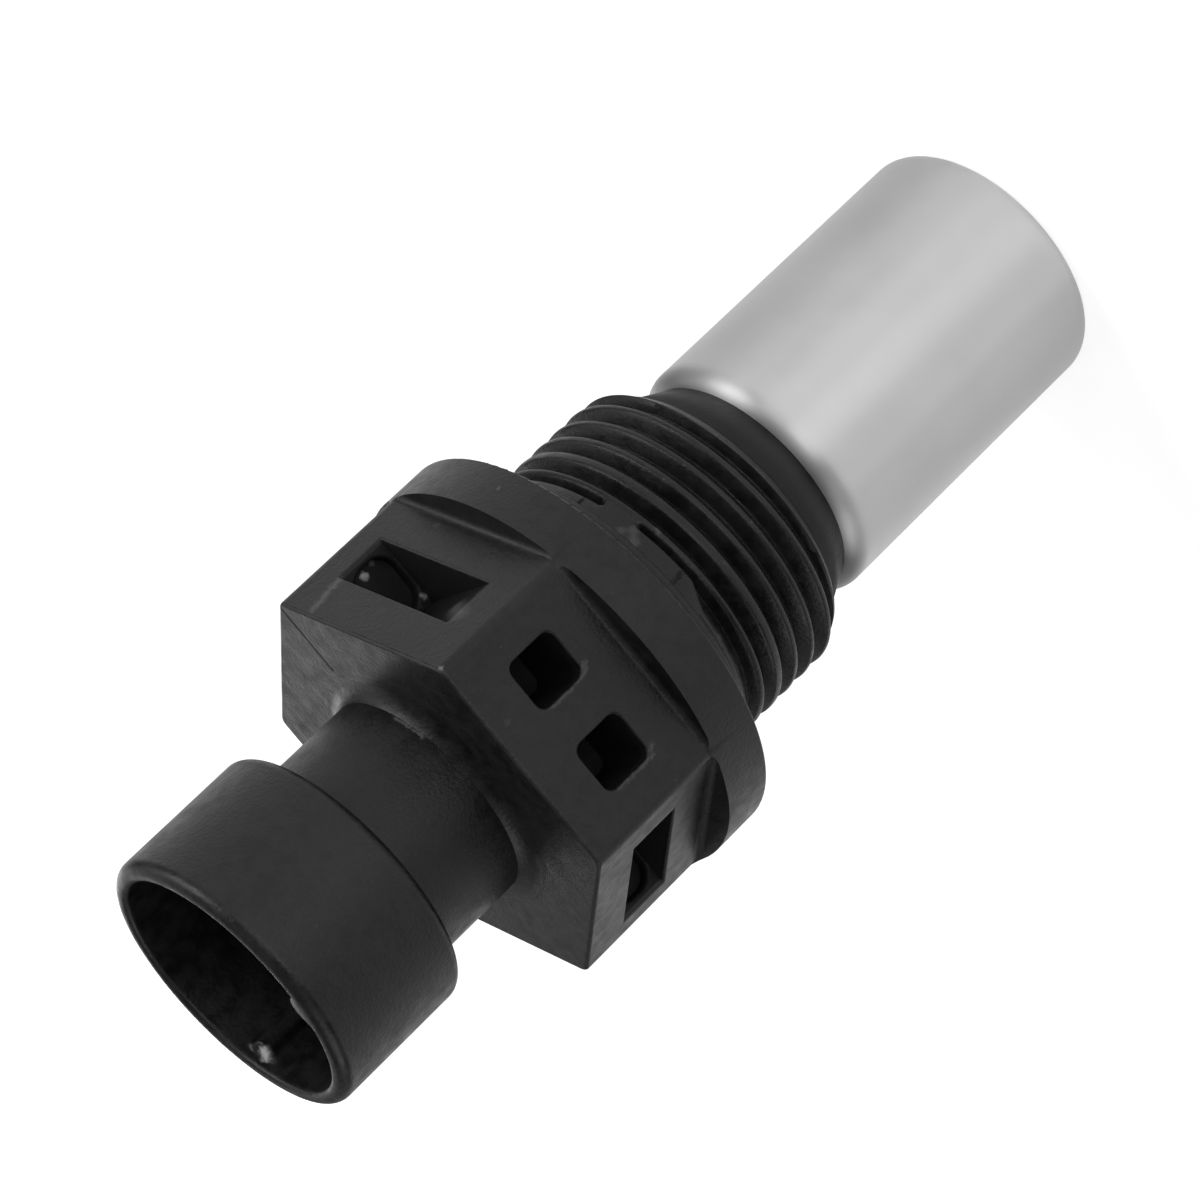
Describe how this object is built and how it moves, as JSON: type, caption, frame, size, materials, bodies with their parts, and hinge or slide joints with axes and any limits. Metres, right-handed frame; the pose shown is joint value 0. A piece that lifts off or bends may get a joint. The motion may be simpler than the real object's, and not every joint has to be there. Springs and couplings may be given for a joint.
{
  "type": "crankshaft position sensor",
  "caption": "Screw-in crankshaft position sensor: a moulded hexagonal body with a keyed round plug socket above its flange, and a slim crimped steel can with the pickup coil below.",
  "frame": {"origin": "centre of the flange's seat face, on the sensor's axis", "axes": "+Z along the axis towards the plug socket, with the can along -Z; the X axis lies in the mould's parting plane and passes through two corners of the hexagon; -Y is square to a flat with two pockets"},
  "size_m": [0.0366, 0.0366, 0.0891],
  "materials": {
    "housing_plastic": "matt black glass-filled moulding",
    "can_steel": "satin, deep drawn",
    "seal_rubber": "smooth moulded ring",
    "bobbin_plastic": "natural moulding",
    "coil_copper": "enamelled fine wire",
    "film_amber": "clear amber film",
    "soft_iron": "turned, bare",
    "magnet_alloy": "ground",
    "terminal_plating": "tin plated",
    "lead_insulation": "extruded",
    "sleeve_plastic": "shrunk tube",
    "carrier_plastic": "matt moulding",
    "potting_resin": "cast, cured"
  },
  "bodies": {
    "root": {"housing": "housing_plastic", "sensor_can": "can_steel", "flange_o_ring": "seal_rubber", "can_o_ring": "seal_rubber", "insulating_cup": "film_amber", "coil_bobbin": "bobbin_plastic", "coil_winding": "coil_copper", "winding_tape": "film_amber", "pole_piece": "soft_iron", "magnet": "magnet_alloy", "back_plate": "soft_iron", "cushion_ring": "seal_rubber", "terminal_carrier": "carrier_plastic", "potting": "potting_resin", "bobbin_post_left": "terminal_plating", "bobbin_post_right": "terminal_plating", "lead_sleeve_left": "sleeve_plastic", "lead_sleeve_right": "sleeve_plastic", "lead_wire_left": "lead_insulation", "lead_wire_right": "lead_insulation", "terminal_left": "terminal_plating", "terminal_right": "terminal_plating"}
  },
  "joints": []
}
